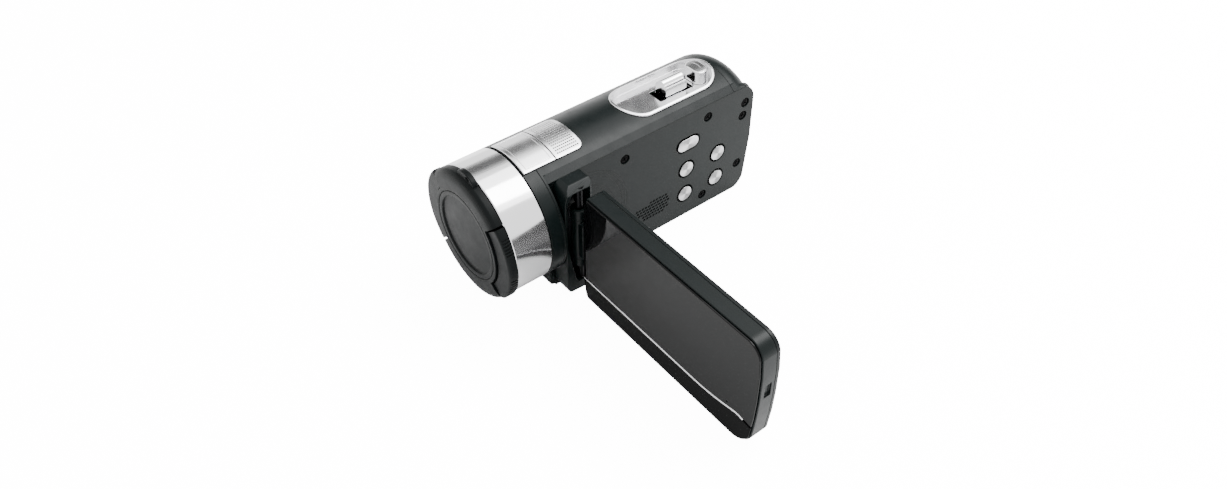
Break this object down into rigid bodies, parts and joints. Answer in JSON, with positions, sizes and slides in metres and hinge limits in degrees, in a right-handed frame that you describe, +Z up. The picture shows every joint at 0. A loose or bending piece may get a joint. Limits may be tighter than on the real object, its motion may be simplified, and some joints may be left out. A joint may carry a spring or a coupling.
{
  "type": "camcorder",
  "caption": "Compact camcorder with a round lens barrel, pinch lens cap, top controls and a side screen that swings out and tilts.",
  "frame": {"origin": "on the flat underside, directly below the lens axis", "axes": "+Z up, the lens looks along -Y, the screen opens towards +X"},
  "size_m": [0.1404, 0.1247, 0.0578],
  "materials": {
    "black_satin": "satin black moulding",
    "black_matte": "fine matt black moulding",
    "black_gloss": "mirror-gloss black",
    "chrome": "bright plated plastic",
    "steel": "plain steel",
    "brushed": "radially spun metal",
    "glass": "coated glass",
    "rubber": "matt rubber",
    "circuit": "green circuit board",
    "grey_plastic": "dark grey plastic",
    "brass": "turned brass",
    "light_pipe": "red translucent plastic"
  },
  "bodies": {
    "body": {"main_shell": "black_satin", "rear_cover": "black_satin", "left_cover": "black_matte", "lens_barrel": "chrome", "barrel_core": "black_matte", "top_trim_plate": "chrome", "microphone_grille": "chrome", "microphone": "steel", "control_deck": "chrome", "port_block": "steel", "battery": "grey_plastic", "battery_tray": "grey_plastic", "tripod_bush": "brass", "mid_frame": "grey_plastic", "main_board": "circuit", "speaker": "steel", "status_light": "light_pipe", "hinge_pin": "steel", "side_screw_1": "black_matte", "side_screw_2": "black_matte", "side_screw_3": "black_matte", "side_screw_4": "black_matte", "side_screw_5": "black_matte", "side_screw_6": "black_matte", "strap_bar_1": "black_satin", "strap_bar_2": "black_satin", "lens_bezel": "black_matte", "lens_tube": "black_matte", "front_lens": "glass", "rear_lens": "glass", "sensor_module": "circuit"},
    "swing_arm": {"hinge_knuckle": "black_matte", "tilt_shaft": "steel"},
    "screen": {"lcd_housing": "black_satin", "lcd_plate": "black_gloss", "lcd_lower_plate": "black_gloss", "lcd_trim_strip": "chrome", "lcd_bezel": "black_satin", "lcd_window": "glass", "lcd_module": "grey_plastic"},
    "oval_key": {"button_oval": "brushed"},
    "upper_key": {"button_upper": "brushed"},
    "lower_key": {"button_lower": "brushed"},
    "rear_upper_key": {"button_rear_upper": "brushed"},
    "rear_lower_key": {"button_rear_lower": "brushed"},
    "zoom": {"zoom_lever": "chrome"},
    "photo": {"photo_button": "chrome"},
    "record": {"record_button": "brushed"},
    "power": {"power_button": "brushed"},
    "port_flap": {"port_cover": "rubber"},
    "battery_lid": {"battery_door": "black_satin"},
    "cap": {"lens_cap": "black_matte", "cap_spring_left": "steel", "cap_spring_right": "steel"},
    "cap_grip_left": {"cap_lever_left": "black_matte"},
    "cap_grip_right": {"cap_lever_right": "black_matte"}
  },
  "joints": [
    {"name": "lcd_swing", "type": "hinge", "parent": "body", "child": "swing_arm", "pos_m": [0.0206, -0.0374, 0.0262], "axis": [0, 0, 1], "range_deg": [0, 90]},
    {"name": "lcd_tilt", "type": "hinge", "parent": "swing_arm", "child": "screen", "pos_m": [0.025, -0.0367, 0.0262], "axis": [1, 0, 0], "range_deg": [-90, 180]},
    {"name": "oval_key_press", "type": "slide", "parent": "body", "child": "oval_key", "axis": [-1, 0, 0], "range_m": [0, 0.0007], "stiffness_N_per_m": 400},
    {"name": "upper_key_press", "type": "slide", "parent": "body", "child": "upper_key", "axis": [-1, 0, 0], "range_m": [0, 0.0007], "stiffness_N_per_m": 400},
    {"name": "lower_key_press", "type": "slide", "parent": "body", "child": "lower_key", "axis": [-1, 0, 0], "range_m": [0, 0.0007], "stiffness_N_per_m": 400},
    {"name": "rear_upper_key_press", "type": "slide", "parent": "body", "child": "rear_upper_key", "axis": [-1, 0, 0], "range_m": [0, 0.0007], "stiffness_N_per_m": 400},
    {"name": "rear_lower_key_press", "type": "slide", "parent": "body", "child": "rear_lower_key", "axis": [-1, 0, 0], "range_m": [0, 0.0007], "stiffness_N_per_m": 400},
    {"name": "zoom_slide", "type": "slide", "parent": "body", "child": "zoom", "axis": [0, 1, 0], "range_m": [-0.0025, 0.0025], "stiffness_N_per_m": 200},
    {"name": "photo_press", "type": "slide", "parent": "body", "child": "photo", "axis": [0, 0, -1], "range_m": [0, 0.0006], "stiffness_N_per_m": 500},
    {"name": "record_press", "type": "slide", "parent": "body", "child": "record", "axis": [0, -1, 0], "range_m": [0, 0.0008], "stiffness_N_per_m": 500},
    {"name": "power_press", "type": "slide", "parent": "body", "child": "power", "axis": [0, -1, 0], "range_m": [0, 0.0008], "stiffness_N_per_m": 500},
    {"name": "port_flap_open", "type": "hinge", "parent": "body", "child": "port_flap", "pos_m": [-0.006, 0.0512, 0.01], "axis": [-1, 0, 0], "range_deg": [0, 100]},
    {"name": "battery_lid_open", "type": "hinge", "parent": "body", "child": "battery_lid", "pos_m": [-0.0249, -0.0077, 0.02025], "axis": [0, 0, 1], "range_deg": [0, 100]},
    {"name": "cap_pull", "type": "slide", "parent": "body", "child": "cap", "axis": [0, -1, 0], "range_m": [0, 0.04]},
    {"name": "cap_grip_left_squeeze", "type": "slide", "parent": "cap", "child": "cap_grip_left", "axis": [-1, 0, 0], "range_m": [0, 0.0006], "stiffness_N_per_m": 500},
    {"name": "cap_grip_right_squeeze", "type": "slide", "parent": "cap", "child": "cap_grip_right", "axis": [1, 0, 0], "range_m": [0, 0.0006], "stiffness_N_per_m": 500}
  ]
}
